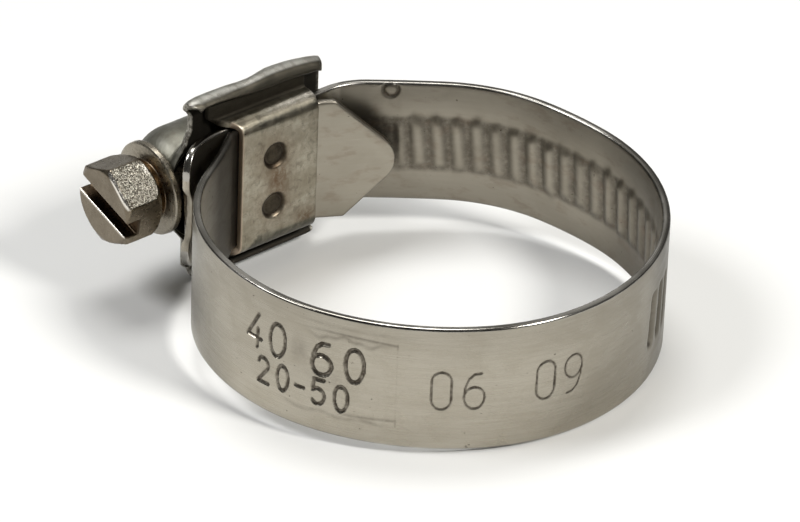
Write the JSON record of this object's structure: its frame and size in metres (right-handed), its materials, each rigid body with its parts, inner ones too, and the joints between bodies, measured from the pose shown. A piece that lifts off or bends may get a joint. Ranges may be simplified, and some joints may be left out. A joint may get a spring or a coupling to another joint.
{
  "type": "worm-drive hose clamp",
  "caption": "Stainless steel worm-drive hose clamp, nearly fully open: embossed band, folded saddle and housing cover, slotted hex screw.",
  "frame": {"origin": "on the axis of the band's long seat arc, at the middle of the band's width", "axes": "+Z along the hose axis; the housing is over +Y; the screw runs along X with its hex head at the -X end"},
  "size_m": [0.0393, 0.0477, 0.0188],
  "materials": {
    "band_steel": "cold-rolled strip, satin along its length, polished edges",
    "saddle_steel": "pressed sheet with heat tint and light staining",
    "cover_steel": "pressed sheet, dull satin, worn bright on its edges",
    "screw_steel": "cold-headed, warm grey, granular on one flat"
  },
  "bodies": {
    "clamp": {"band": "band_steel", "saddle": "saddle_steel", "housing_cover": "cover_steel"},
    "screw": {"worm_screw": "screw_steel"}
  },
  "joints": [
    {"name": "screw_turn", "type": "hinge", "parent": "clamp", "child": "screw", "pos_m": [-0.0182, 0.0245, 0], "axis": [1, 0, 0], "continuous": true}
  ]
}
